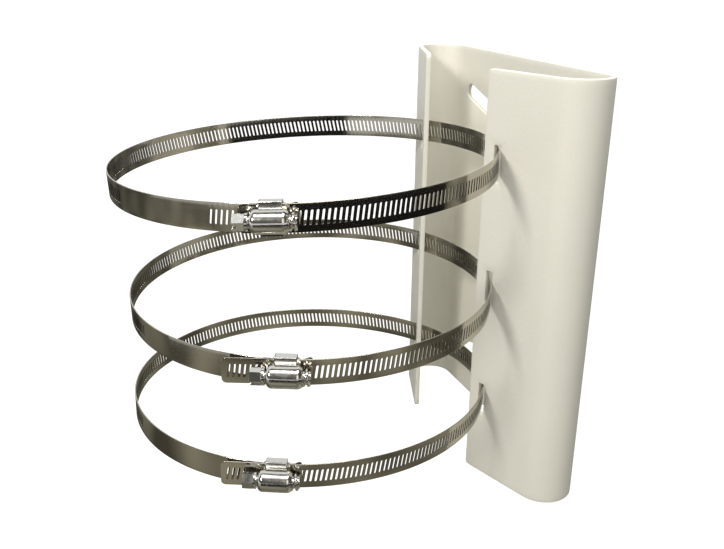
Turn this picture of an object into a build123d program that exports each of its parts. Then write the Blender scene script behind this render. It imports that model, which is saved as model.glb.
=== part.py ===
# Pole bracket for a camera: one bent aluminium channel, held on a pole by three worm drive band clamps.
# Frame: X across the channel, Y from the camera face towards the pole, Z up, origin at the centre of
# the camera face. Lengths are millimetres and angles are degrees.
from build123d import *
from collections import namedtuple
from math import asin, cos, degrees, radians, sin
import os

# Channel
CHANNEL_WIDTH = 176.0
CHANNEL_HEIGHT = 230.0
CHANNEL_WALL = 2.8
BEND_RADIUS = 16.3
LIP_ANGLE = 19.0
LIP_GAP = 72.0
LIP_CORNER_RADIUS = 2.0

# Upright slots that the bands pass through, one row in each lip
BAND_SLOT_WIDTH = 4.4
BAND_SLOT_HEIGHT = 19.0
BAND_SLOT_FROM_EDGE = 8.8
BAND_SLOT_SPACING = 68.0

# Slanted slots in the web that the camera arm bolts to
ARM_SLOT_WIDTH = 9.0
ARM_SLOT_LENGTH = 44.0
ARM_SLOT_ANGLE = 17.0
ARM_SLOT_SPACING_X = 86.0
ARM_SLOT_SPACING_Z = 166.0

# Band, with fewer and wider perforations than the real strip has, and about the same share left open
BAND_WIDTH = 12.7
BAND_THICKNESS = 0.6
LAYER_GAP = 0.2
BAND_CORNER_RADIUS = 2.2
PERFORATION_PITCH = 6.0
PERFORATION_WIDTH = 3.1
PERFORATION_LENGTH = 6.4
HEAD_END_PERFORATIONS = 3
PLAIN_STRETCH_END = 95.0
TONGUE_LENGTH = 2.5
TONGUE_BEND_RADIUS = 4.0
TONGUE_BEND = 42.0
TONGUE_SETBACK = 1.0
TAIL_BEND_RADIUS = 30.0
TAIL_STRAIGHTENING = 5.6

# Housing, saddle and worm screw of one clamp
HOUSING_WALL = 0.9
BARREL_LENGTH = 16.2
LEG_LENGTH = 10.0
LEG_CLEARANCE = 0.4
HOOK_LENGTH = 3.0
SHOULDER_CLEARANCE = 0.1
SADDLE_LENGTH = 12.0
SADDLE_THICKNESS = 0.9
SADDLE_CLEARANCE = 0.1
HOOK_CLEARANCE = 0.35
WORM_RADIUS = 4.0
WORM_CLEARANCE = 0.3
WORM_LIFT = 0.2
WORM_TIP = 3.5
NECK_RADIUS = 2.6
NECK_CLEARANCE = 0.2
COLLAR_RADIUS = 4.0
COLLAR_THICKNESS = 1.5
COLLAR_GAP = 0.5
HEX_ACROSS_FLATS = 7.0
HEX_LENGTH = 5.0
HEX_CHAMFER = 0.5
DRIVER_SLOT_WIDTH = 1.3
DRIVER_SLOT_DEPTH = 2.2

# One clamp: height of its loop at the slots, radii of the turns in the channel and at the front, sweeps
# of the near and front turns, lean down towards the pole, roll sideways, direction of its housing from
# the loop's middle, free tail past the housing, and how far round its screw stands
Clamp = namedtuple("Clamp", "name height channel_radius front_radius near_turn front_turn lean roll "
                   "housing_direction tail screw_turn")
CLAMPS = [
    Clamp("top", 69.5, 91.5, 95.7, 97.9, 109.1, 2.1, 0.55, 155.4, 2.0, 20.0),
    Clamp("middle", -1.8, 102.0, 98.1, 112.0, 152.0, 0.9, -0.7, 154.9, 17.4, 50.0),
    Clamp("bottom", -65.15, 80.0, 87.8, 83.1, 105.0, -1.65, -0.15, 156.7, 14.3, 35.0),
]

# Sizes that follow from those above
LIP_CENTRE_X = CHANNEL_WIDTH / 2 - BEND_RADIUS
LIP_LENGTH = (LIP_CENTRE_X + BEND_RADIUS * sin(radians(LIP_ANGLE)) - LIP_GAP / 2) / cos(radians(LIP_ANGLE))
CHANNEL_DEPTH = BEND_RADIUS * (1 + cos(radians(LIP_ANGLE))) + LIP_LENGTH * sin(radians(LIP_ANGLE))
SLOT_X = (LIP_GAP / 2 + BAND_SLOT_FROM_EDGE * cos(radians(LIP_ANGLE))
          - CHANNEL_WALL / 2 * sin(radians(LIP_ANGLE)))
SLOT_Y = (CHANNEL_DEPTH - BAND_SLOT_FROM_EDGE * sin(radians(LIP_ANGLE))
          - CHANNEL_WALL / 2 * cos(radians(LIP_ANGLE)))
LAYER_STEP = BAND_THICKNESS + LAYER_GAP
BAND_TOP = LAYER_STEP + BAND_THICKNESS / 2
WORM_AXIS = BAND_TOP + WORM_LIFT + WORM_RADIUS
BORE_RADIUS = WORM_RADIUS + WORM_CLEARANCE
BARREL_RADIUS = BORE_RADIUS + HOUSING_WALL
BARREL_END = BARREL_LENGTH / 2


def heading(angle):
    """Unit vector at an angle from X, in a loop's own plane."""
    return Vector(cos(radians(angle)), sin(radians(angle)))


# Channel

def lip_side(inset):
    """One half of the channel's section at a depth under its outer face, from the web to the lip's edge."""
    radius = BEND_RADIUS - inset
    centre = Vector(LIP_CENTRE_X, BEND_RADIUS)
    bend = CenterArc(centre, radius, -90, 180 - LIP_ANGLE)
    web = Line(Vector(0, inset), bend @ 0)
    lip = Line(bend @ 1, (bend @ 1) + heading(180 - LIP_ANGLE) * LIP_LENGTH)
    return web, bend, lip


def channel_section():
    outer = lip_side(0)
    inner = lip_side(CHANNEL_WALL)
    edge = Line(outer[2] @ 1, inner[2] @ 1)
    middle = Line(outer[0] @ 0, inner[0] @ 0)
    half = make_face([*outer, edge, *inner, middle])
    return half + mirror(half, about=Plane.YZ)


def band_slots():
    """Cutters for both rows of upright slots."""
    plane = Plane(origin=(SLOT_X, SLOT_Y, 0), x_dir=(0, 0, 1),
                  z_dir=(sin(radians(LIP_ANGLE)), cos(radians(LIP_ANGLE)), 0))
    outline = Rectangle(BAND_SLOT_HEIGHT, BAND_SLOT_WIDTH)
    row = [extrude(plane * Pos(place * BAND_SLOT_SPACING, 0) * outline, CHANNEL_WALL, both=True)
           for place in (-1, 0, 1)]
    return row + [mirror(slot, about=Plane.YZ) for slot in row]


def arm_slots():
    """Cutters for the four slanted slots in the web."""
    place = Pos(ARM_SLOT_SPACING_X / 2, ARM_SLOT_SPACING_Z / 2) * Rot(0, 0, ARM_SLOT_ANGLE)
    outline = Plane.XZ * place * SlotOverall(ARM_SLOT_LENGTH, ARM_SLOT_WIDTH)
    upper = extrude(outline, 2 * CHANNEL_WALL, both=True)
    pair = [upper, mirror(upper, about=Plane.XY)]
    return pair + [mirror(slot, about=Plane.YZ) for slot in pair]


def bracket():
    body = extrude(channel_section(), CHANNEL_HEIGHT / 2, both=True)
    lip_edges = body.edges().filter_by(lambda e: abs(e.length - CHANNEL_WALL) < 1e-3)
    body = fillet(lip_edges, LIP_CORNER_RADIUS)
    return body - (band_slots() + arm_slots())


# Band loops

class Strip:
    """A path of straight runs and arcs in a plane, drawn forwards from a point and a heading."""

    def __init__(self, point, angle):
        self.point, self.angle, self.pieces, self.length = point, angle, [], 0.0

    def run(self, length):
        end = self.point + heading(self.angle) * length
        self.pieces.append(("run", self.length, length, self.point, self.angle, 0))
        self.point, self.length = end, self.length + length

    def turn(self, radius, sweep):
        """An arc that turns right for a positive sweep and left for a negative one."""
        side = -90 if sweep > 0 else 90
        centre = self.point + heading(self.angle + side) * radius
        self.pieces.append(("turn", self.length, radians(abs(sweep)) * radius, centre, self.angle, sweep))
        self.angle -= sweep
        self.point = centre - heading(self.angle + side) * radius
        self.length += radians(abs(sweep)) * radius

    def at(self, distance):
        """Point and heading at a distance along the path."""
        for kind, start, length, anchor, angle, sweep in self.pieces:
            if distance <= start + length:
                break
        part = (distance - start) / length
        if kind == "run":
            return anchor + heading(angle) * (distance - start), angle
        side = -90 if sweep > 0 else 90
        now = angle - sweep * part
        return anchor - heading(now + side) * (length / radians(abs(sweep))), now


def chord(before, after):
    """What one unit of radius adds to a path that turns right from one heading to the next."""
    return heading(after + 90) - heading(before + 90)


def loop_turns(clamp):
    """Headings at the near slot and after each turn, and the radii of the near, front and far turns."""
    slot_heading = degrees(asin(SLOT_X / clamp.channel_radius))
    start = 180 - slot_heading
    front_start = start - clamp.near_turn
    headings = [start, front_start, front_start - clamp.front_turn, slot_heading - 180]
    near, front, far = [chord(a, b) for a, b in zip(headings, headings[1:])]
    rest = Vector(2 * SLOT_X, 0) - front * clamp.front_radius
    size = near.X * far.Y - near.Y * far.X
    near_radius = (rest.X * far.Y - rest.Y * far.X) / size
    far_radius = (near.X * rest.Y - near.Y * rest.X) / size
    return headings, near_radius, far_radius


def band_path(clamp):
    """The strip from its tongue, once round the loop and through the housing to the end of its tail."""
    headings, near_radius, far_radius = loop_turns(clamp)
    at_housing = clamp.housing_direction - 90
    centre = Vector(-SLOT_X, 0) - heading(headings[0] + 90) * near_radius
    under_housing = degrees((BARREL_END - TONGUE_SETBACK) / near_radius)
    first = at_housing + under_housing
    strip = Strip(centre + heading(first + 90) * near_radius, first)
    tongue = Strip(strip.point, first + 180)
    tongue.turn(TONGUE_BEND_RADIUS, -TONGUE_BEND)
    tongue.run(TONGUE_LENGTH)
    strip = Strip(tongue.point, tongue.angle - 180)
    strip.run(TONGUE_LENGTH)
    strip.turn(TONGUE_BEND_RADIUS, TONGUE_BEND)
    housing_at = strip.length + BARREL_END - TONGUE_SETBACK
    strip.turn(near_radius, first - headings[1])
    strip.turn(clamp.front_radius, clamp.front_turn)
    strip.turn(far_radius, headings[2] - headings[3])
    strip.turn(clamp.channel_radius, headings[3] + 360 - headings[0])
    climb = 1 - cos(radians(headings[0] - at_housing))
    outer_radius = near_radius + LAYER_STEP / climb
    past_housing = degrees(BARREL_END / outer_radius)
    strip.turn(outer_radius, headings[0] - at_housing + past_housing)
    strip.turn(TAIL_BEND_RADIUS, -TAIL_STRAIGHTENING)
    strip.run(clamp.tail)
    return strip, housing_at, near_radius


def loop_plane(clamp):
    """The plane of a clamp's loop, through the middle of its pair of slots."""
    tilt = Rot(-clamp.lean, 0, 0) * Rot(0, clamp.roll, 0)
    return Plane(Pos(0, SLOT_Y, clamp.height) * tilt)


def facets(strip):
    """Distances where the strip's flats end: the tongue and half its bend, then a flat for each pitch."""
    _, bend_start, bend_length = strip.pieces[1][:3]
    start = bend_start + bend_length
    count = round((strip.length - start) / PERFORATION_PITCH)
    pitch = (strip.length - start) / count
    return [0, bend_start, start - bend_length / 2] + [start + pitch * i for i in range(count + 1)]


def perforation_places(clamp):
    """Middles of the flats that are perforated: a few by the head end, then all past the plain stretch."""
    strip, housing_at, near_radius = band_path(clamp)
    ends = facets(strip)
    middles = [(a + b) / 2 for a, b in zip(ends, ends[1:])]
    head_start = housing_at + BARREL_END
    head_end = head_start + HEAD_END_PERFORATIONS * PERFORATION_PITCH
    plain_end = housing_at + radians(clamp.housing_direction - PLAIN_STRETCH_END) * near_radius
    return [s for s in middles if head_start < s < head_end or s > plain_end]


def strip_side(strip, offset):
    """A line of points beside the strip's middle, at each end of its flats."""
    points = []
    for distance in facets(strip):
        point, angle = strip.at(distance)
        points.append(point + heading(angle + 90) * offset)
    return points


def band(clamp):
    strip, _, _ = band_path(clamp)
    outline = strip_side(strip, BAND_THICKNESS / 2) + strip_side(strip, -BAND_THICKNESS / 2)[::-1]
    body = extrude(make_face(Polyline(*outline, close=True)), BAND_WIDTH / 2, both=True)
    corners = body.edges().filter_by(lambda e: abs(e.length - BAND_THICKNESS) < 1e-4)
    body = fillet(corners, BAND_CORNER_RADIUS)
    cutter = Box(PERFORATION_WIDTH, 4 * BAND_THICKNESS, PERFORATION_LENGTH)
    holes = []
    for place in perforation_places(clamp):
        point, angle = strip.at(place)
        holes.append(Pos(point.X, point.Y, 0) * Rot(0, 0, angle) * cutter)
    return loop_plane(clamp).location * (body - holes)


# Clamp hardware, drawn with X along the screw towards its head, Y out from the band and Z across it

def hardware_place(clamp):
    strip, housing_at, _ = band_path(clamp)
    point, angle = strip.at(housing_at)
    return loop_plane(clamp).location * Pos(point.X, point.Y, 0) * Rot(0, 0, angle)


def along_x(radius, start, end):
    """A round bar on the worm's axis."""
    return Pos(start, WORM_AXIS, 0) * extrude(Plane.YZ * Circle(radius), end - start)


def slab(length, low, high, near, far):
    """A block centred on X, between two heights above the band and two distances across it."""
    return Pos(0, (low + high) / 2, (near + far) / 2) * Box(length, high - low, far - near)


def housing(clamp):
    floor = BAND_TOP + SHOULDER_CLEARANCE
    inside = BAND_WIDTH / 2 + LEG_CLEARANCE
    outside = inside + HOUSING_WALL
    under = -(BAND_THICKNESS / 2 + SADDLE_CLEARANCE + SADDLE_THICKNESS + HOOK_CLEARANCE)
    barrel = along_x(BARREL_RADIUS, -BARREL_END, BARREL_END)
    barrel -= slab(2 * BARREL_LENGTH, -BARREL_RADIUS, floor, -outside, outside)
    barrel += slab(LEG_LENGTH, floor, floor + HOUSING_WALL, -outside, outside)
    barrel -= along_x(BORE_RADIUS, -BARREL_LENGTH, BARREL_END - HOUSING_WALL)
    barrel -= along_x(NECK_RADIUS + NECK_CLEARANCE, 0, BARREL_LENGTH)
    leg = slab(LEG_LENGTH, under - HOUSING_WALL, floor + HOUSING_WALL, inside, outside)
    leg += slab(LEG_LENGTH, under - HOUSING_WALL, under, outside - HOOK_LENGTH, outside)
    return hardware_place(clamp) * (barrel + leg + mirror(leg, about=Plane.XY))


def saddle(clamp):
    _, _, near_radius = band_path(clamp)
    outer = near_radius - BAND_THICKNESS / 2 - SADDLE_CLEARANCE
    inner = outer - SADDLE_THICKNESS
    half = degrees(SADDLE_LENGTH / 2 / outer)
    arcs = [CenterArc((0, -near_radius), radius, 90 - half, 2 * half) for radius in (outer, inner)]
    ends = [Line(arcs[0] @ t, arcs[1] @ t) for t in (0, 1)]
    return hardware_place(clamp) * extrude(make_face([*arcs, *ends]), BAND_WIDTH / 2, both=True)


def screw(clamp):
    neck_end = BARREL_END + COLLAR_GAP
    head_start = neck_end + COLLAR_THICKNESS
    head_end = head_start + HEX_LENGTH
    worm_end = BARREL_END - HOUSING_WALL - COLLAR_GAP
    worm = along_x(WORM_RADIUS, -BARREL_END - WORM_TIP, worm_end)
    hexagon = RegularPolygon(HEX_ACROSS_FLATS / 2, 6, major_radius=False)
    head = Pos(head_start, WORM_AXIS, 0) * extrude(Plane.YZ * hexagon, HEX_LENGTH)
    head = chamfer(head.faces().sort_by(Axis.X)[-1].edges(), HEX_CHAMFER)
    slot = Box(2 * DRIVER_SLOT_DEPTH, DRIVER_SLOT_WIDTH, 2 * HEX_ACROSS_FLATS)
    head -= Pos(head_end, WORM_AXIS, 0) * slot
    body = worm + along_x(NECK_RADIUS, 0, neck_end) + along_x(COLLAR_RADIUS, neck_end, head_start) + head
    turned = Pos(0, WORM_AXIS, 0) * Rot(clamp.screw_turn, 0, 0) * Pos(0, -WORM_AXIS, 0)
    return hardware_place(clamp) * turned * body


def main():
    parts = {"bracket": bracket()}
    for clamp in CLAMPS:
        parts[clamp.name + "_band"] = band(clamp)
        parts[clamp.name + "_housing"] = housing(clamp)
        parts[clamp.name + "_saddle"] = saddle(clamp)
        parts[clamp.name + "_screw"] = screw(clamp)
    os.makedirs("parts", exist_ok=True)
    for name, part in parts.items():
        export_step(part, "parts/" + name + ".step")


main()
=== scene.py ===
import bmesh
import bpy
import numpy as np
from collections import namedtuple
from mathutils import Matrix, Vector

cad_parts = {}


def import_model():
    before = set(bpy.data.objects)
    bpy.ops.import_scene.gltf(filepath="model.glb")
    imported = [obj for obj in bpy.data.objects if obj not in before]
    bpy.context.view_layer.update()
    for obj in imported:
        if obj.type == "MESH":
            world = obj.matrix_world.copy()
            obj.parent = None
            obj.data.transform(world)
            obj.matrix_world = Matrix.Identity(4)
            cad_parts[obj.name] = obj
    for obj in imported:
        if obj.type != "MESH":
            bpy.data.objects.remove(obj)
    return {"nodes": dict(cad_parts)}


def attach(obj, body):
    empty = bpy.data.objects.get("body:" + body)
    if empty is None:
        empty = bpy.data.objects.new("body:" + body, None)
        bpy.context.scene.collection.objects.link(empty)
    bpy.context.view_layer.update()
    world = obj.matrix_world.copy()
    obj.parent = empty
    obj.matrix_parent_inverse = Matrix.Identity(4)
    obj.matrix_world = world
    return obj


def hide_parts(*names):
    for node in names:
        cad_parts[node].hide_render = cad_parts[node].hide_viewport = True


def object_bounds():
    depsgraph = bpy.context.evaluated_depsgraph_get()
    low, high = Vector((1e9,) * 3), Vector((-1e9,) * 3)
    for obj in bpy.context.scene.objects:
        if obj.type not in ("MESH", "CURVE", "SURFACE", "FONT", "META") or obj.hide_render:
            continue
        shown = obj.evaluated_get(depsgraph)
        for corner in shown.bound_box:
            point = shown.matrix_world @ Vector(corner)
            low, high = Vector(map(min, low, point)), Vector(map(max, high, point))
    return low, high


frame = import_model()
cad_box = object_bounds()

# Lengths are millimetres and angles degrees, as in the part, but where a heading says metres. Meshes are
# scaled to metres when made.
MM = 0.001

# Channel
CHANNEL_WIDTH = 176.0
CHANNEL_HEIGHT = 230.0
WALL = 2.8
BEND_RADIUS = 16.3
LIP_ANGLE = 19.0
LIP_GAP = 72.0
LIP_CORNER = 2.0
EDGE_ROUND = 0.45
SLOT_WIDTH = 4.4
SLOT_HEIGHT = 19.0
SLOT_CORNER = 0.6
SLOT_FROM_EDGE = 8.8
SLOT_SPACING = 68.0
ARM_WIDTH = 9.0
ARM_LENGTH = 44.0
ARM_ANGLE = 17.0
ARM_X = 43.0
ARM_Z = 83.0

# Band
BAND_WIDTH = 12.7
BAND_THICKNESS = 0.6
LAYER_STEP = 0.8
BAND_CORNER = 2.2
RIM = 0.2
PITCH = 2.45
HOLE_WIDTH = 1.1
HOLE_LENGTH = 6.6
HOLE_SLANT = 9.0
HEAD_END_HOLES = 8
FIRST_HOLE = 2.2
PLAIN_STEP = 1.6
TONGUE_LENGTH = 2.5
TONGUE_RADIUS = 4.0
TONGUE_BEND = 42.0
TONGUE_SETBACK = 1.0
TAIL_RADIUS = 30.0
TAIL_STRAIGHTENING = 5.6
RIM_POINTS = 7
STRIP_TONE = "#B7B3A8"
# The slot walls' dark colour is painted shade, standing in for the shade inside the slots
SLOT_SHADE_TONE = "#65625A"
# Distances from the strip's middle layer between which a slot's wall takes its painted shade, and from its
# rims
SLOT_WALL_FROM = 0.29
SLOT_WALL_FULL = 0.26
SLOT_WALL_MARGIN = 0.01

# Housing and screw
SHEET = 0.9
BARREL_LENGTH = 16.2
BARREL_RADIUS = 5.2
BARREL_ROUND = 2.4
BORE_RADIUS = 4.3
BORE_CHAMFER = 0.9
MOUTH_STEP = 0.1
NECK_HOLE = 2.8
FLOOR = 1.2
LEG_LENGTH = 10.0
LEG_INSIDE = 6.75
LEG_UNDER = -1.65
HOOK_LENGTH = 3.0
WORM_AXIS = 5.3
WORM_RADIUS = 4.0
WORM_ROOT = 2.9
WORM_TIP = 3.5
WORM_TAPER = 1.0
WORM_TIP_THREAD = 0.35
THREAD_STEEPNESS = 0.9
WORM_ROWS = 190
WORM_COLUMNS = 40
NECK_RADIUS = 2.6
NECK_INSIDE = 1
COLLAR_RADIUS = 4.0
COLLAR_THICKNESS = 1.5
COLLAR_CHAMFER = 0.3
RUNNING_GAP = 0.5
HEX_FLATS = 7.0
HEX_LENGTH = 5.0
DRIVER_WIDTH = 1.3
DRIVER_DEPTH = 2.2

# One clamp, as in the part but for the last two: its screw's own turn here, unlike the part's, and the
# direction in which its plain stretch ends
Clamp = namedtuple("Clamp", "name height channel_radius front_radius near_turn front_turn lean roll "
                   "housing_direction tail screw_turn plain_end")
CLAMPS = (Clamp("top", 69.5, 91.5, 95.7, 97.9, 109.1, 2.1, 0.55, 155.4, 2.0, 72.0, 107.5),
          Clamp("middle", -1.8, 102.0, 98.1, 112.0, 152.0, 0.9, -0.7, 154.9, 17.4, 55.0, 105.0),
          Clamp("bottom", -65.15, 80.0, 87.8, 83.1, 105.0, -1.65, -0.15, 156.7, 14.3, 14.0, 111.0))

# Grid on the channel's flat sheet, and the blocks of it that the slots' rings take up
GRID_STEP = 2.0
GRID_REACH = (158.0, 112.0)
LIP_BLOCK_X = 152
LIP_BLOCK_HALF = (6, 14)
ARM_BLOCK_X = 42
ARM_BLOCK_Z = 84
ARM_BLOCK_HALF = (28, 16)
EDGE_REACH = 1.025

# Mesh making, in metres and degrees
MERGE_DISTANCE = 2e-6
SHORTEST_EDGE = 1e-6
SHARP_ANGLE = 38
SOFT_ANGLE = 50

# Camera, in metres, degrees (azimuth, pitch down, roll) and pixels, with its sensor in millimetres
CAMERA_PLACE = (-0.40294, 0.25642, 0.16533)
CAMERA_TURNS = (111.37, 21.0, 0.42)
FOCAL_LENGTH = 822.4
PICTURE_WIDTH = 724
SENSOR_WIDTH = 36.0

# Studio, in metres, with boards that stand about the loops' middle in sectors of degrees
FLOOR_HEIGHT = cad_box[0][2] - 0.12
FLOOR_REACH = 30.0
FLOOR_NEAR = 0.45
FLOOR_FAR = 1.1
FLOOR_GLOW = 0.80
MAT_HEIGHT = FLOOR_HEIGHT + 0.002
MAT_REACH = 1.9
CARD_HEIGHT = FLOOR_HEIGHT + 0.004
LOOP_MIDDLE = 0.13
ARC_POINTS = 61
FLAG_SECTOR = (136.0, 243.0)
FLAG_RADIUS = 0.68
FLAG_TOP = -0.02
DIM_WALL_SECTOR = (70, 290)
DIM_WALL_RADIUS = 2.2
DIM_WALL_HEIGHTS = (0.15, 3.2)
GAP_LOW = (-0.08, -1)
GAP_HIGH = (0.30, 1)
GAP_HEIGHT = 0.85
PALE_CARD_SECTOR = (74, 135.5)
PALE_CARD_RADII = (1.13, 1.46)
GREY_CARD_SECTOR = (72, 135)
GREY_CARD_RADII = (0.54, 0.62)
ROOM_LIGHT = "#8C8E8C"

# Each lamp's name, place, size, power in watts and colour
LAMP_TARGET = (0, 0.05, 0)
LAMPS = (("key", (-0.38, 0.72, 0.52), 0.16, 4.3, "#FFFBF2"),
         ("overhead", (-0.10, 0.10, 0.95), 0.6, 9.5, "#FFFDF8"),
         ("fill", (-1.2, 0.2, 0.6), 0.9, 3.2, "#FFF8EC"))

LIP_X = CHANNEL_WIDTH / 2 - BEND_RADIUS
LIP_TURN = np.radians(LIP_ANGLE)
LIP_LENGTH = (LIP_X + BEND_RADIUS * np.sin(LIP_TURN) - LIP_GAP / 2) / np.cos(LIP_TURN)
BEND_LENGTH = BEND_RADIUS * (np.pi - LIP_TURN)
HALF_SHEET = LIP_X + BEND_LENGTH + LIP_LENGTH
DEPTH = BEND_RADIUS * (1 + np.cos(LIP_TURN)) + LIP_LENGTH * np.sin(LIP_TURN)
SLOT_X = LIP_GAP / 2 + SLOT_FROM_EDGE * np.cos(LIP_TURN) - WALL / 2 * np.sin(LIP_TURN)
SLOT_Y = DEPTH - SLOT_FROM_EDGE * np.sin(LIP_TURN) - WALL / 2 * np.cos(LIP_TURN)
BARREL_END = BARREL_LENGTH / 2


def heading(angle):
    """Unit vector at an angle in degrees from X."""
    turn = np.radians(angle)
    return np.stack([np.cos(turn), np.sin(turn)], -1)


# Materials

def linear(code):
    """The linear colour of an sRGB hex value."""
    part = np.array([int(code[i:i + 2], 16) / 255 for i in (1, 3, 5)])
    value = np.where(part <= 0.04045, part / 12.92, ((part + 0.055) / 1.055) ** 2.4)
    return (*[float(v) for v in value], 1.0)


def node(tree, kind, links=(), **settings):
    """Adds a node, sets its properties and sockets, and links its inputs."""
    made = tree.nodes.new(kind)
    for key, value in settings.items():
        if hasattr(made, key):
            setattr(made, key, value)
        else:
            made.inputs[key.replace("_", " ")].default_value = value
    for socket, source in dict(links).items():
        # Each input is named, or numbered where several have one name
        tree.links.new(source, made.inputs[socket])
    return made


def material(name, color, roughness, metallic):
    made = bpy.data.materials.new(name)
    made.use_nodes = True
    shader = made.node_tree.nodes["Principled BSDF"]
    shader.inputs["Base Color"].default_value = linear(color)
    shader.inputs["Roughness"].default_value = roughness
    shader.inputs["Metallic"].default_value = metallic
    return made, made.node_tree, shader


def powder_coat():
    """Off-white polyester powder: half-matt, with orange peel of about 1.5 mm and faint 40 mm clouds."""
    made, tree, shader = material("off_white_powder_coat", "#E6E4DB", 0.5, 0.0)
    place = node(tree, "ShaderNodeTexCoord").outputs["Object"]
    peel = node(tree, "ShaderNodeTexNoise", {"Vector": place}, Scale=650.0, Detail=2.0)
    bump = node(tree, "ShaderNodeBump", {"Height": peel.outputs["Fac"]}, Strength=0.35, Distance=0.0003)
    cloud = node(tree, "ShaderNodeTexNoise", {"Vector": place}, Scale=25.0, Detail=3.0)
    tint = node(tree, "ShaderNodeValToRGB", {"Fac": cloud.outputs["Fac"]})
    tint.color_ramp.elements[0].color = linear("#E3E1D8")
    tint.color_ramp.elements[1].color = linear("#E9E7DF")
    tree.links.new(tint.outputs["Color"], shader.inputs["Base Color"])
    tree.links.new(bump.outputs["Normal"], shader.inputs["Normal"])
    return made


def rolled_steel():
    """Cold rolled stainless strip: bright faces with faint lines 0.4 mm apart, and painted shade on slot
    walls.
    """
    made, tree, shader = material("rolled_stainless_strip", STRIP_TONE, 0.14, 1.0)
    along = node(tree, "ShaderNodeAttribute", attribute_name="flat").outputs["Vector"]
    place = node(tree, "ShaderNodeSeparateXYZ", {"Vector": along}).outputs
    depth, across = [node(tree, "ShaderNodeMath", {0: place[axis]}, operation="ABSOLUTE").outputs["Value"]
                     for axis in ("Z", "Y")]
    # A slot's wall is what lies between the two faces and inside the rims, and it is coloured dark as painted
    # shade
    under = node(tree, "ShaderNodeMapRange", {"Value": depth},
                 From_Min=SLOT_WALL_FROM * MM, From_Max=SLOT_WALL_FULL * MM)
    inside = node(tree, "ShaderNodeMath", {0: across}, operation="LESS_THAN")
    inside.inputs[1].default_value = (BAND_WIDTH / 2 - RIM - SLOT_WALL_MARGIN) * MM
    wall = node(tree, "ShaderNodeMath", {0: under.outputs["Result"], 1: inside.outputs["Value"]},
                operation="MULTIPLY")
    # Painted shade: the walls of the slots get the dark colour, the faces keep the strip's own
    shade = node(tree, "ShaderNodeValToRGB", {"Fac": wall.outputs["Value"]})
    shade.color_ramp.elements[0].color = linear(STRIP_TONE)
    shade.color_ramp.elements[1].color = linear(SLOT_SHADE_TONE)
    tree.links.new(shade.outputs["Color"], shader.inputs["Base Color"])
    scaled = node(tree, "ShaderNodeMapping", {"Vector": along}, Scale=(8.0, 2500.0, 1.0))
    lines = node(tree, "ShaderNodeTexNoise", {"Vector": scaled.outputs["Vector"]}, Scale=1.0, Detail=3.0)
    rough = node(tree, "ShaderNodeMapRange", {"Value": lines.outputs["Fac"]}, To_Min=0.06, To_Max=0.16)
    bump = node(tree, "ShaderNodeBump", {"Height": lines.outputs["Fac"]}, Strength=0.03, Distance=0.0001)
    tree.links.new(rough.outputs["Result"], shader.inputs["Roughness"])
    tree.links.new(bump.outputs["Normal"], shader.inputs["Normal"])
    return made


def pressed_steel(name, color, roughness):
    """Pressed and tumbled stainless: shiny, with soft dents about 3 mm apart that are partly duller."""
    made, tree, shader = material(name, color, roughness, 1.0)
    place = node(tree, "ShaderNodeTexCoord").outputs["Object"]
    dents = node(tree, "ShaderNodeTexNoise", {"Vector": place}, Scale=320.0, Detail=2.0)
    bump = node(tree, "ShaderNodeBump", {"Height": dents.outputs["Fac"]}, Strength=0.15, Distance=0.0003)
    rough = node(tree, "ShaderNodeMapRange", {"Value": dents.outputs["Fac"]},
                 To_Min=roughness * 0.6, To_Max=roughness * 1.5)
    tree.links.new(rough.outputs["Result"], shader.inputs["Roughness"])
    tree.links.new(bump.outputs["Normal"], shader.inputs["Normal"])
    return made


# Meshes from grids

def quads(rows, columns, closed):
    """Corner numbers of a grid's faces, its last column joined to the first where it is closed."""
    across = columns if closed else columns - 1
    row, column = np.meshgrid(np.arange(rows - 1), np.arange(across), indexing="ij")
    after = (column + 1) % columns
    corners = [row * columns + column, row * columns + after,
               (row + 1) * columns + after, (row + 1) * columns + column]
    return np.stack(corners, -1).reshape(-1, 4)


def piece(name, grids, shape, body, finish, nodes=()):
    """One mesh from grids of flat points, each (points, closed), put in place by a shape function."""
    flats, faces, count = [], [], 0
    for points, closed in grids:
        stack = points.reshape(-1, *points.shape[-3:])
        each = quads(*stack.shape[1:3], closed)
        size = stack.shape[1] * stack.shape[2]
        starts = count + size * np.arange(len(stack))
        faces.append((starts[:, None, None] + each).reshape(-1, 4))
        flats.append(stack.reshape(-1, 3))
        count += size * len(stack)
    flat, face = np.concatenate(flats), np.concatenate(faces)
    mesh = bpy.data.meshes.new(name)
    mesh.from_pydata((shape(flat) * MM).tolist(), [], face.tolist())
    mesh.attributes.new("flat", "FLOAT_VECTOR", "POINT").data.foreach_set("vector", (flat * MM).ravel())
    work = bmesh.new()
    work.from_mesh(mesh)
    bmesh.ops.remove_doubles(work, verts=work.verts, dist=MERGE_DISTANCE)
    bmesh.ops.dissolve_degenerate(work, edges=work.edges, dist=SHORTEST_EDGE)
    bmesh.ops.recalc_face_normals(work, faces=work.faces)
    work.to_mesh(mesh)
    work.free()
    mesh.shade_smooth()
    mesh.set_sharp_from_angle(angle=np.radians(SHARP_ANGLE))
    made = bpy.data.objects.new(name, mesh)
    bpy.context.scene.collection.objects.link(made)
    mesh.materials.append(finish)
    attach(made, body)
    if nodes:
        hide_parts(*nodes)
    return made


# Channel, drawn as a flat sheet of (distance round the section, height, depth under the outer face)

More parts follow.
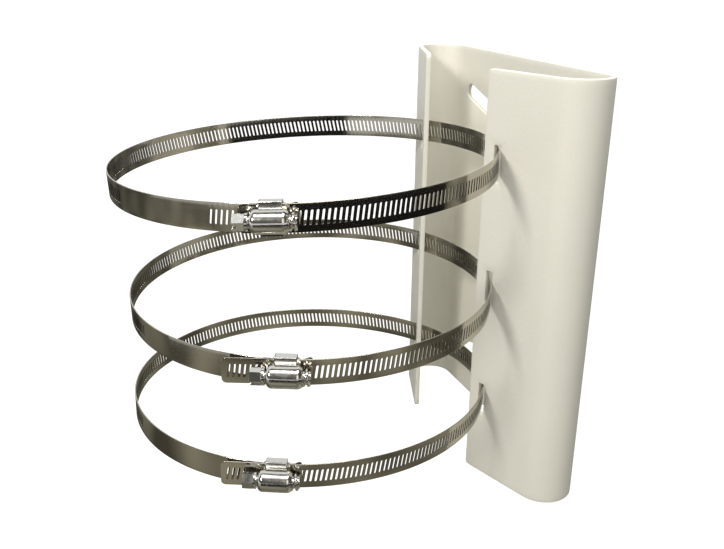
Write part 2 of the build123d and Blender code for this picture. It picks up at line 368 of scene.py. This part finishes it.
def bend_sheet(flat):
    """Web, arc and straight lip in turn, mirrored for negative distances, less the depth along the normal."""
    side = np.where(flat[:, 0] < 0, -1.0, 1.0)
    distance = np.abs(flat[:, 0])
    turn = np.clip((distance - LIP_X) / BEND_RADIUS, 0, np.pi - LIP_TURN)
    normal = np.stack([np.sin(turn), -np.cos(turn)], -1)
    tangent = np.stack([np.cos(turn), np.sin(turn)], -1)
    run = np.maximum(distance - LIP_X - BEND_LENGTH, 0)[:, None]
    place = np.array([LIP_X, BEND_RADIUS]) + normal * (BEND_RADIUS - flat[:, 2:]) + tangent * run
    place[:, 0] -= np.maximum(LIP_X - distance, 0)
    return np.stack([place[:, 0] * side, place[:, 1], flat[:, 1]], -1)


def frame_loop(low, high, step):
    """Points once round a rectangle, every step."""
    across = np.arange(low[0], high[0] + step / 2, step)
    up = np.arange(low[1], high[1] + step / 2, step)
    bottom = np.stack([across, np.full(len(across), low[1])], -1)[:-1]
    right = np.stack([np.full(len(up), high[0]), up], -1)[:-1]
    top = np.stack([across[::-1], np.full(len(across), high[1])], -1)[:-1]
    left = np.stack([np.full(len(up), low[0]), up[::-1]], -1)[:-1]
    return np.concatenate([bottom, right, top, left])


def rounded_outline(loop, centre, core, tilt, radius):
    """Each loop point moved to a given radius from the nearest point of a tilted core rectangle."""
    turn = np.radians(tilt)
    spin = np.array([[np.cos(turn), -np.sin(turn)], [np.sin(turn), np.cos(turn)]])
    local = (loop - centre) @ spin
    nearest = np.clip(local, -np.array(core), np.array(core))
    away = local - nearest
    away /= np.linalg.norm(away, axis=1)[:, None]
    return (nearest + away * radius) @ spin.T + centre


def edge_ring(loop, outline, sign):
    """From a loop on the outer face, round the rounded edge of an outline, to the loop on the inner face."""
    turn = np.linspace(0, np.pi / 2, 4)
    offset = EDGE_ROUND * (1 - np.sin(turn))
    depth = EDGE_ROUND * (1 - np.cos(turn))
    offsets = np.concatenate([offset, offset[::-1]])
    depths = np.concatenate([depth, WALL - depth[::-1]])
    rows = [np.column_stack([loop, np.zeros(len(loop))])]
    rows += [np.column_stack([outline(sign * o), np.full(len(loop), d)]) for o, d in zip(offsets, depths)]
    rows.append(np.column_stack([loop, np.full(len(loop), WALL)]))
    return np.array(rows), True


def channel_grids():
    """A grid on both faces, with a block left out for each slot's ring, and a ring round the edge."""
    step, reach = GRID_STEP, np.array(GRID_REACH)
    slot_place = HALF_SHEET - SLOT_FROM_EDGE
    # Each block's middle and half size, and its slot's middle, core's half size, tilt and corner radius
    blocks = []
    for side in (-1, 1):
        for row in (-1, 0, 1):
            height = SLOT_SPACING * row
            blocks.append(((LIP_BLOCK_X * side, height), LIP_BLOCK_HALF, (slot_place * side, height),
                           (SLOT_WIDTH / 2 - SLOT_CORNER, SLOT_HEIGHT / 2 - SLOT_CORNER), 0, SLOT_CORNER))
        for row in (-1, 1):
            blocks.append(((ARM_BLOCK_X * side, ARM_BLOCK_Z * row), ARM_BLOCK_HALF,
                           (ARM_X * side, ARM_Z * row), ((ARM_LENGTH - ARM_WIDTH) / 2, 0),
                           ARM_ANGLE * side * row, ARM_WIDTH / 2))
    across, up = [np.arange(-r, r + 1, step) for r in reach]
    left, low = [v.ravel() for v in np.meshgrid(across[:-1], up[:-1], indexing="ij")]
    keep = np.ones(len(left), bool)
    grids = []
    for middle, half, centre, core, tilt, radius in blocks:
        middle, half, centre = [np.array(v, float) for v in (middle, half, centre)]
        keep &= ((np.abs(left + step / 2 - middle[0]) > half[0])
                 | (np.abs(low + step / 2 - middle[1]) > half[1]))
        loop = frame_loop(middle - half, middle + half, step)
        grids.append(edge_ring(loop, lambda o: rounded_outline(loop, centre, core, tilt, radius + o), 1))
    left, low = left[keep], low[keep]
    for depth in (0.0, WALL):
        cell = [[(left, low), (left + step, low)], [(left, low + step), (left + step, low + step)]]
        points = np.array([[np.stack([x, z, np.full(len(x), depth)], -1) for x, z in pair] for pair in cell])
        grids.append((points.transpose(2, 0, 1, 3), False))
    loop = frame_loop(-reach, reach, step)
    core = (HALF_SHEET - LIP_CORNER, CHANNEL_HEIGHT / 2 - LIP_CORNER)
    # The outline is sought from just beyond the sheet's edge
    wide, middle = loop * EDGE_REACH, np.zeros(2)
    grids.append(edge_ring(loop, lambda o: rounded_outline(wide, middle, core, 0, LIP_CORNER + o), -1))
    return grids


# Band, drawn straight as (distance along it, place across it, offset outwards), then bent round the loop

def chord(before, after):
    """What one unit of radius adds to a path that turns right from one heading to the next."""
    return heading(after + 90) - heading(before + 90)


def loop_turns(clamp):
    """Headings between the turns, and near and far radii that close the loop on both slots."""
    at_slot = np.degrees(np.arcsin(SLOT_X / clamp.channel_radius))
    start = 180 - at_slot
    turns = [start, start - clamp.near_turn, start - clamp.near_turn - clamp.front_turn, at_slot - 180]
    near, front, far = [chord(a, b) for a, b in zip(turns, turns[1:])]
    rest = np.array([2 * SLOT_X, 0]) - front * clamp.front_radius
    return turns, *np.linalg.solve(np.column_stack([near, far]), rest)


def band_path(clamp):
    """The strip's stretches as (length, right turn), its start, and where its housing stands."""
    turns, near, far = loop_turns(clamp)
    at_housing = clamp.housing_direction - 90
    centre = np.array([-SLOT_X, 0]) - heading(turns[0] + 90) * near
    to_tongue = BARREL_END - TONGUE_SETBACK
    first = at_housing + np.degrees(to_tongue / near)
    outer = near + LAYER_STEP / (1 - np.cos(np.radians(turns[0] - at_housing)))
    past = np.degrees(BARREL_END / outer)
    sweeps = ((TONGUE_RADIUS, TONGUE_BEND), (near, first - turns[1]), (clamp.front_radius, clamp.front_turn),
              (far, turns[2] - turns[3]), (clamp.channel_radius, turns[3] + 360 - turns[0]),
              (outer, turns[0] - at_housing + past), (TAIL_RADIUS, -TAIL_STRAIGHTENING))
    curved = [(radius * np.radians(abs(turn)), turn) for radius, turn in sweeps]
    stretches = [(TONGUE_LENGTH, 0.0)] + curved + [(clamp.tail, 0.0)]
    joint = centre + heading(first + 90) * near
    bend_centre = joint + heading(first - 90) * TONGUE_RADIUS
    angle = first + TONGUE_BEND
    start = bend_centre + heading(angle + 90) * TONGUE_RADIUS - heading(angle) * TONGUE_LENGTH
    housing_at = TONGUE_LENGTH + TONGUE_RADIUS * np.radians(TONGUE_BEND) + to_tongue
    return stretches, start, angle, housing_at, near


def along_path(stretches, start, angle, distance):
    """Point and heading at each distance: stretches of constant curvature, one after another."""
    point, begin = start, 0.0
    places, angles = np.zeros((len(distance), 2)), np.zeros(len(distance))
    for number, (length, turn) in enumerate(stretches):
        here = distance >= begin - 1e-9 if number else np.ones(len(distance), bool)
        now = np.append(np.where(here, distance - begin, 0.0), length)
        if turn == 0:
            way, track = np.full(len(now), angle), point + heading(angle) * now[:, None]
        else:
            side, radius = -90 * np.sign(turn), length / np.radians(abs(turn))
            centre = point + heading(angle + side) * radius
            way = angle - turn * now / length
            track = centre - heading(way + side) * radius
        places[here], angles[here] = track[:-1][here], way[:-1][here]
        point, angle, begin = track[-1], way[-1], begin + length
    return places, angles


def loop_matrix(clamp):
    """Turn and middle of a clamp's loop plane."""
    turn = Matrix.Rotation(np.radians(-clamp.lean), 3, "X") @ Matrix.Rotation(np.radians(clamp.roll), 3, "Y")
    return np.array(turn), np.array([0, SLOT_Y, clamp.height])


def bend_band(clamp):
    stretches, start, angle, _, _ = band_path(clamp)
    turn, middle = loop_matrix(clamp)

    def shape(flat):
        """The path at each distance, plus the offset along its left normal, and the width upwards."""
        places, angles = along_path(stretches, start, angle, flat[:, 0])
        places = places + heading(angles + 90) * flat[:, 2:]
        return np.column_stack([places, flat[:, 1]]) @ turn.T + middle
    return shape


def half_width(distance, total):
    """Half the strip's width, less at its two rounded ends."""
    short = np.clip(BAND_CORNER - np.minimum(distance, total - distance), 0, BAND_CORNER)
    return BAND_WIDTH / 2 - BAND_CORNER + np.sqrt(BAND_CORNER ** 2 - short ** 2)


def levels():
    """Places across the strip where every grid line runs, from edge to edge."""
    hole = HOLE_LENGTH / 2 - HOLE_WIDTH / 2
    rim = BAND_WIDTH / 2 - RIM
    one = np.array([hole, (hole + rim) / 2, rim])
    return np.concatenate([-one[::-1], one])


def rim_profile():
    """Half an ellipse round the strip's edge, from its outer to its inner face."""
    turn = np.linspace(np.pi / 2, -np.pi / 2, RIM_POINTS)
    return BAND_WIDTH / 2 - RIM + RIM * np.cos(turn), BAND_THICKNESS / 2 * np.sin(turn)


def strip_sections(distances, total):
    """The closed cross-section at each distance: both faces and both rims, narrowed at rounded ends."""
    across = levels()
    offset = np.full(len(across), BAND_THICKNESS / 2)
    rim_across, rim_offset = rim_profile()
    place = np.concatenate([across, rim_across[1:-1], across[::-1], -rim_across[1:-1]])
    out = np.concatenate([offset, rim_offset[1:-1], -offset, rim_offset[::-1][1:-1]])
    scale = half_width(distances, total) / (BAND_WIDTH / 2)
    rows = np.broadcast_to(distances[:, None], (len(distances), len(place)))
    return np.stack([rows, place * scale[:, None], np.broadcast_to(out, rows.shape)], -1)


def end_cap(distance, total):
    """The strip's end, between the outer and the inner half of its cross-section."""
    loop = strip_sections(np.array([distance]), total)[0]
    # The outer half runs from the middle of one rim over the face to the middle of the other
    half_rim = RIM_POINTS // 2
    outer = np.roll(loop, half_rim, axis=0)[:len(levels()) + 2 * half_rim]
    inner = outer * np.array([1, 1, -1])
    return np.array([outer, inner]), False


def hole_cells(begin, count):
    """For each hole, a ring from its cell's border over the outer face, through and back over the inner."""
    arc = np.radians(np.arange(0, 181, 30))
    straight = HOLE_LENGTH / 2 - HOLE_WIDTH / 2
    top = np.stack([HOLE_WIDTH / 2 * np.cos(arc), straight + HOLE_WIDTH / 2 * np.sin(arc)], -1)
    hole = np.concatenate([top, -top])
    up = levels()[3:][[0, 1, 2, 2, 2, 1, 0]]
    side = np.array([1, 1, 1, 0, -1, -1, -1]) * PITCH / 2
    hole[:, 0] -= np.tan(np.radians(HOLE_SLANT)) * hole[:, 1]
    border = np.concatenate([np.stack([side, up], -1), -np.stack([side, up], -1)])
    rows = [(border, 0.5), (hole, 0.5), (hole, -0.5), (border, -0.5)]
    ring = np.array([np.column_stack([line, np.full(len(line), part * BAND_THICKNESS)])
                     for line, part in rows])
    middles = begin + PITCH * (np.arange(count) + 0.5)
    cells = np.broadcast_to(ring, (count, *ring.shape)).copy()
    cells[..., 0] += middles[:, None, None]
    return cells, True


def rims(begin, count):
    """Both edges of a perforated stretch."""
    distances = begin + PITCH / 2 * np.arange(2 * count + 1)
    across, offset = rim_profile()
    rows = np.broadcast_to(distances[:, None], (len(distances), RIM_POINTS))
    upper = np.stack([rows, np.broadcast_to(across, rows.shape), np.broadcast_to(offset, rows.shape)], -1)
    return [(upper, False), (upper * np.array([1, -1, 1]), False)]


def band_grids(clamp):
    stretches, _, _, housing_at, near = band_path(clamp)
    total = sum(length for length, _ in stretches)
    head = housing_at + BARREL_END
    plain_end = housing_at + np.radians(clamp.housing_direction - clamp.plain_end) * near
    last = total - FIRST_HOLE
    count = int((last - plain_end) / PITCH)
    runs = [(head, HEAD_END_HOLES), (last - count * PITCH, count)]
    grids, at = [], 0.0
    for begin, holes in runs:
        grids.append((plain_sections(at, begin, total), True))
        grids.append(hole_cells(begin, holes))
        grids += rims(begin, holes)
        at = begin + holes * PITCH
    grids.append((plain_sections(at, total, total), True))
    return grids + [end_cap(0.0, total), end_cap(total, total)]


def plain_sections(begin, end, total):
    """Cross-sections of a plain stretch, close together where an end is rounded."""
    steps = np.linspace(begin, end, max(2, int((end - begin) / PLAIN_STEP) + 1))
    corner = BAND_CORNER * (1 - np.cos(np.linspace(0, np.pi / 2, 8)))
    near_ends = np.concatenate([corner, total - corner])
    near_ends = near_ends[(near_ends > begin) & (near_ends < end)]
    return strip_sections(np.unique(np.round(np.concatenate([steps, near_ends]), 6)), total)


# Clamp hardware, drawn with X along the screw towards its head, Y out from the band and Z across it

def hardware_shape(clamp):
    """The loop plane's turn, the place of the housing on the path and the path's heading there."""
    stretches, start, angle, housing_at, _ = band_path(clamp)
    turn, middle = loop_matrix(clamp)
    places, angles = along_path(stretches, start, angle, np.array([housing_at]))
    way, out = heading(angles[0]), heading(angles[0] + 90)
    local = np.array([[way[0], out[0], 0], [way[1], out[1], 0], [0, 0, 1]])
    offset = np.array([*places[0], 0])
    return lambda flat: (flat @ local.T + offset) @ turn.T + middle


def spun(profile, columns=48):
    """A profile of (place along X, radius) turned about the worm's axis."""
    turn = np.linspace(0, 2 * np.pi, columns, endpoint=False)
    along, radius = np.array(profile).T
    shape = [np.broadcast_to(along[:, None], (len(along), columns)),
             WORM_AXIS + radius[:, None] * np.cos(turn), radius[:, None] * np.sin(turn)]
    return np.stack(shape, -1), True


def corner_arc(x, radius, turn_from, turn_to, size, steps=7):
    """Points of an arc in a profile of (place along X, radius)."""
    turn = np.radians(np.linspace(turn_from, turn_to, steps))
    return [(x + size * np.cos(t), radius + size * np.sin(t)) for t in turn]


def housing_barrel():
    """A barrel with well rounded ends, hollow, and flat where it stands on the band."""
    flat = BARREL_END - BARREL_ROUND
    high = BARREL_RADIUS - BARREL_ROUND
    # The open end starts part of the way round its corner
    outer = [(-BARREL_END, BORE_RADIUS - MOUTH_STEP)] + corner_arc(-flat, high, 180, 90, BARREL_ROUND)[3:]
    outer += corner_arc(flat, high, 90, 0, BARREL_ROUND) + [(BARREL_END, NECK_HOLE)]
    inner = [(BARREL_END - SHEET, NECK_HOLE), (BARREL_END - SHEET, BORE_RADIUS - BORE_CHAMFER),
             (flat, BORE_RADIUS), (-BARREL_END + SHEET, BORE_RADIUS)]
    points, closed = spun(outer + inner + [outer[0]])
    points = points.copy()
    points[..., 1] = np.maximum(points[..., 1], FLOOR)
    return points, closed


def prism(outline, begin, end):
    """A closed outline of (Y, Z) carried along X, with both ends filled to its middle."""
    outline = np.array(outline, float)
    middle = np.broadcast_to(outline.mean(0), outline.shape)
    rows = [(begin, middle), (begin, outline), (end, outline), (end, middle)]
    return np.array([np.column_stack([np.full(len(o), x), o]) for x, o in rows]), True


def housing_grids():
    """The barrel, the plate that it rises from, and on each side a leg and a hook."""
    outside = LEG_INSIDE + SHEET
    half = LEG_LENGTH / 2
    grids = [housing_barrel()]
    plate = [(FLOOR, -outside), (FLOOR, outside), (FLOOR + SHEET, outside), (FLOOR + SHEET, -outside)]
    grids.append(prism(plate, -half, half))
    for side in (-1, 1):
        leg = [(LEG_UNDER - SHEET, LEG_INSIDE), (LEG_UNDER - SHEET, outside),
               (FLOOR, outside), (FLOOR, LEG_INSIDE)]
        hook = [(LEG_UNDER - SHEET, outside - HOOK_LENGTH), (LEG_UNDER - SHEET, LEG_INSIDE),
                (LEG_UNDER, LEG_INSIDE), (LEG_UNDER, outside - HOOK_LENGTH)]
        for outline in (leg, hook):
            grids.append(prism([(y, side * z) for y, z in outline], -half, half))
    return grids


def worm_grid():
    """A bar whose radius follows a rounded thread: a wave of the turn less the distance over the pitch."""
    begin, end = -BARREL_END - WORM_TIP, BARREL_END - SHEET - RUNNING_GAP
    along = np.linspace(begin, end, WORM_ROWS)
    turn = np.linspace(0, 2 * np.pi, WORM_COLUMNS, endpoint=False)
    wave = np.cos(2 * np.pi * along[:, None] / PITCH - turn)
    fade = np.clip((along - begin) / WORM_TAPER, 0, 1)[:, None]
    crest = np.clip(0.5 + THREAD_STEEPNESS * wave, 0, 1)
    full = WORM_TIP_THREAD + (1 - WORM_TIP_THREAD) * fade
    radius = WORM_ROOT + (WORM_RADIUS - WORM_ROOT) * crest * full
    # The first and last rows close the ends
    radius[0] = radius[-1] = 0.0
    along = np.concatenate([along[:1], along[:-1]])
    points = [np.broadcast_to(along[:, None], radius.shape),
              WORM_AXIS + radius * np.cos(turn), radius * np.sin(turn)]
    return np.stack(points, -1), True


def hex_outline(cut=None):
    """The head's hexagon about the worm's axis, or what is left of it on one side of the driver's slot."""
    half, corner = HEX_FLATS / 2, HEX_FLATS / 2 / np.cos(np.pi / 6)
    upper = [(half, corner / 2), (0, corner), (-half, corner / 2)]
    if cut is None:
        corners = upper + [(-z, -y) for z, y in upper]
    else:
        side = [(half, DRIVER_WIDTH / 2)] + upper + [(-half, DRIVER_WIDTH / 2)]
        corners = [(cut * z, cut * y) for z, y in side]
    return [(WORM_AXIS + y, z) for z, y in corners]


def screw_grids():
    neck_end = BARREL_END + RUNNING_GAP
    head_start = neck_end + COLLAR_THICKNESS
    head_end = head_start + HEX_LENGTH
    flat, rim = COLLAR_RADIUS - COLLAR_CHAMFER, COLLAR_RADIUS
    collar = [(head_start, 0), (head_start, flat), (head_start - COLLAR_CHAMFER, rim),
              (neck_end + COLLAR_CHAMFER, rim), (neck_end, flat), (neck_end, 0)]
    neck_start = BARREL_END - SHEET - NECK_INSIDE
    neck = [(neck_start, 0), (neck_start, NECK_RADIUS), (neck_end, NECK_RADIUS), (neck_end, 0)]
    grids = [worm_grid(), spun(neck), spun(collar), prism(hex_outline(), head_start, head_end - DRIVER_DEPTH)]
    return grids + [prism(hex_outline(cut), head_end - DRIVER_DEPTH, head_end) for cut in (-1, 1)]


def turned(grids, angle):
    """Grids turned about the worm's axis."""
    c, s = np.cos(np.radians(angle)), np.sin(np.radians(angle))
    spin = np.array([[1, 0, 0], [0, c, -s], [0, s, c]])
    axis = np.array([0, WORM_AXIS, 0])
    return [((points - axis) @ spin.T + axis, closed) for points, closed in grids]


def soften(made, width):
    """Rounds a piece's sharp edges."""
    bevel = made.modifiers.new("soft_edges", "BEVEL")
    bevel.width, bevel.segments, bevel.limit_method = width * MM, 2, "ANGLE"
    bevel.angle_limit = np.radians(SOFT_ANGLE)
    even_faces(made)


def even_faces(made):
    """Shades wide faces as flat as they are, and leaves the turn of the surface to the narrow ones."""
    normals = made.modifiers.new("even_faces", "WEIGHTED_NORMAL")
    normals.keep_sharp = True


# Camera, at the place and angle of the photograph's

def camera():
    azimuth, pitch, roll = np.radians(CAMERA_TURNS)
    level = np.array([np.sin(azimuth), np.cos(azimuth), 0])
    right = np.array([np.cos(azimuth), -np.sin(azimuth), 0])
    ahead = np.cos(pitch) * level - np.sin(pitch) * np.array([0, 0, 1])
    up = np.sin(pitch) * level + np.cos(pitch) * np.array([0, 0, 1])
    right, up = np.cos(roll) * right + np.sin(roll) * up, np.cos(roll) * up - np.sin(roll) * right
    data = bpy.data.cameras.new("photo_camera")
    data.sensor_width, data.clip_start = SENSOR_WIDTH, 0.01
    data.lens = SENSOR_WIDTH * FOCAL_LENGTH / PICTURE_WIDTH
    made = bpy.data.objects.new("photo_camera", data)
    turn = Matrix(np.column_stack([right, up, -ahead]).tolist())
    made.matrix_world = Matrix.Translation(CAMERA_PLACE) @ turn.to_4x4()
    bpy.context.scene.collection.objects.link(made)
    bpy.context.scene.camera = made


# Light and floor

def lamp(name, place, target, size, power, color):
    data = bpy.data.lights.new(name, "AREA")
    data.size, data.energy, data.color = size, power, linear(color)[:3]
    made = bpy.data.objects.new(name, data)
    made.location = place
    made.rotation_euler = (Vector(target) - Vector(place)).to_track_quat("-Z", "Y").to_euler()
    bpy.context.scene.collection.objects.link(made)


def seen_directly(tree):
    """1 for rays that show the background: from the camera, off gloss and through glass."""
    path = node(tree, "ShaderNodeLightPath").outputs
    gloss = node(tree, "ShaderNodeMath", {0: path["Is Camera Ray"], 1: path["Is Glossy Ray"]},
                 operation="ADD")
    total = node(tree, "ShaderNodeMath", {0: gloss.outputs["Value"], 1: path["Is Transmission Ray"]},
                 operation="ADD", use_clamp=True)
    return total.outputs["Value"]


def stage_mesh(name, points, faces, finish):
    """A mesh that belongs to the studio and not to the object."""
    mesh = bpy.data.meshes.new(name)
    mesh.from_pydata(points, [], faces)
    mesh.materials.append(finish)
    made = bpy.data.objects.new(name, mesh)
    bpy.context.scene.collection.objects.link(made)
    return made


def stage_sheet(name, low, high, height, finish):
    """A level rectangle between two corners."""
    corners = [(low[0], low[1], height), (high[0], low[1], height),
               (high[0], high[1], height), (low[0], high[1], height)]
    return stage_mesh(name, corners, [(0, 1, 2, 3)], finish)


def floor():
    """A large white floor under the bracket, whose own glow rises to full white away from the object."""
    finish, tree, shader = material("white_paper_floor", "#A2A29E", 0.9, 0.0)
    place = node(tree, "ShaderNodeTexCoord").outputs["Object"]
    distance = node(tree, "ShaderNodeVectorMath", {0: place}, operation="LENGTH").outputs["Value"]
    rise = node(tree, "ShaderNodeMapRange", {"Value": distance}, From_Min=FLOOR_NEAR, From_Max=FLOOR_FAR,
                To_Min=FLOOR_GLOW, To_Max=1.0)
    glow = node(tree, "ShaderNodeMath", {0: rise.outputs["Result"], 1: seen_directly(tree)},
                operation="MULTIPLY")
    shader.inputs["Emission Color"].default_value = (1, 1, 1, 1)
    tree.links.new(glow.outputs["Value"], shader.inputs["Emission Strength"])
    stage_sheet("floor", (-FLOOR_REACH, -FLOOR_REACH), (FLOOR_REACH, FLOOR_REACH), FLOOR_HEIGHT, finish)


def hidden_but_in_metal(made):
    """Leaves a studio board to glossy rays only: the metal mirrors it and the matt coat hardly shows it."""
    made.visible_camera = made.visible_diffuse = made.visible_shadow = made.visible_transmission = False


def ground_mat():
    """A glowing khaki sheet just above the floor, with lighter and darker patches some 250 mm wide, that only
    the steel mirrors.
    """
    finish, tree, shader = material("khaki_ground", "#000000", 1.0, 0.0)
    place = node(tree, "ShaderNodeTexCoord").outputs["Object"]
    patches = node(tree, "ShaderNodeTexNoise", {"Vector": place}, Scale=4.0, Detail=1.0)
    tint = node(tree, "ShaderNodeValToRGB", {"Fac": patches.outputs["Fac"]})
    tint.color_ramp.elements[0].position, tint.color_ramp.elements[1].position = 0.35, 0.65
    tint.color_ramp.elements[0].color = linear("#4C483C")
    tint.color_ramp.elements[1].color = linear("#ABA795")
    tree.links.new(tint.outputs["Color"], shader.inputs["Emission Color"])
    aside = node(tree, "ShaderNodeSeparateXYZ", {"Vector": place}).outputs["X"]
    # Its glow gets dimmer away from the camera
    dusk = node(tree, "ShaderNodeMapRange", {"Value": aside}, From_Min=0.0, From_Max=0.5,
                To_Min=1.0, To_Max=0.35)
    tree.links.new(dusk.outputs["Result"], shader.inputs["Emission Strength"])
    hidden_but_in_metal(stage_sheet("ground_mat", (-MAT_REACH, -MAT_REACH), (MAT_REACH, MAT_REACH),
                                    MAT_HEIGHT, finish))


def arc_board(name, sector, near, far, finish):
    """A board between two arcs about the loops' middle, each at a (radius, height)."""
    turn = np.radians(np.linspace(*sector, ARC_POINTS))
    arcs = [np.column_stack([radius * np.cos(turn), LOOP_MIDDLE + radius * np.sin(turn),
                             np.full(ARC_POINTS, height)]) for radius, height in (near, far)]
    faces = quads(2, ARC_POINTS, False).tolist()
    hidden_but_in_metal(stage_mesh(name, np.concatenate(arcs).tolist(), faces, finish))


def ground_card(name, sector, radii, color):
    """A glowing board that lies just above the ground mat."""
    near, far = [(radius, CARD_HEIGHT) for radius in radii]
    arc_board(name, sector, near, far, glowing(name, color))


def glowing(name, color):
    """A matt board that shows one tone, whatever light falls on it."""
    finish, _, shader = material(name, "#000000", 1.0, 0.0)
    shader.inputs["Emission Color"].default_value = linear(color)
    shader.inputs["Emission Strength"].default_value = 1.0
    return finish


def boards():
    """What the metal mirrors: a low black flag, a dim wall, a dark gap overhead and two ground cards."""
    felt = material("black_felt", "#050505", 1.0, 0.0)[0]
    arc_board("black_flag", FLAG_SECTOR, (FLAG_RADIUS, FLOOR_HEIGHT), (FLAG_RADIUS, FLAG_TOP), felt)
    foot, top = [(DIM_WALL_RADIUS, height) for height in DIM_WALL_HEIGHTS]
    arc_board("dim_wall", DIM_WALL_SECTOR, foot, top, glowing("dim_wall", "#4E4E4C"))
    hidden_but_in_metal(stage_sheet("dark_gap", GAP_LOW, GAP_HIGH, GAP_HEIGHT, felt))
    ground_card("pale_card", PALE_CARD_SECTOR, PALE_CARD_RADII, "#F0F0F0")
    ground_card("grey_card", GREY_CARD_SECTOR, GREY_CARD_RADII, "#D0D0D0")


def world():
    """A grey room for light, and plain white where the camera or the metal sees past the floor."""
    made = bpy.data.worlds.new("studio")
    bpy.context.scene.world = made
    made.use_nodes = True
    tree = made.node_tree
    shade = node(tree, "ShaderNodeMix", {0: seen_directly(tree)}, data_type="RGBA")
    colors = [s for s in shade.inputs if s.type == "RGBA"]
    colors[0].default_value, colors[1].default_value = linear(ROOM_LIGHT), (1, 1, 1, 1)
    mixed = [s for s in shade.outputs if s.type == "RGBA"][0]
    tree.links.new(mixed, tree.nodes["Background"].inputs["Color"])


def main():
    camera()
    bpy.context.scene.view_settings.view_transform = "Standard"
    coat, strip_steel = powder_coat(), rolled_steel()
    shell_steel = pressed_steel("tumbled_stainless_pressing", "#CDCCC8", 0.16)
    screw_steel = pressed_steel("bright_screw_steel", "#D0CFCB", 0.14)
    piece("channel", channel_grids(), bend_sheet, "mount", coat, ["bracket"])
    for clamp in CLAMPS:
        name = clamp.name
        even_faces(piece(name + "_strip", band_grids(clamp), bend_band(clamp), "mount",
                         strip_steel, [name + "_band"]))
        place = hardware_shape(clamp)
        shell = piece(name + "_shell", housing_grids(), place, "mount", shell_steel,
                      [name + "_housing"])
        soften(shell, 0.3)
        worm = piece(name + "_worm_screw", turned(screw_grids(), clamp.screw_turn), place, name + "_worm",
                     screw_steel, [name + "_screw"])
        soften(worm, 0.25)
        saddle = frame["nodes"][name + "_saddle"]
        saddle.data.materials.clear()
        saddle.data.materials.append(shell_steel)
    floor()
    ground_mat()
    boards()
    world()
    for name, place, size, power, color in LAMPS:
        lamp(name, place, LAMP_TARGET, size, power, color)


main()
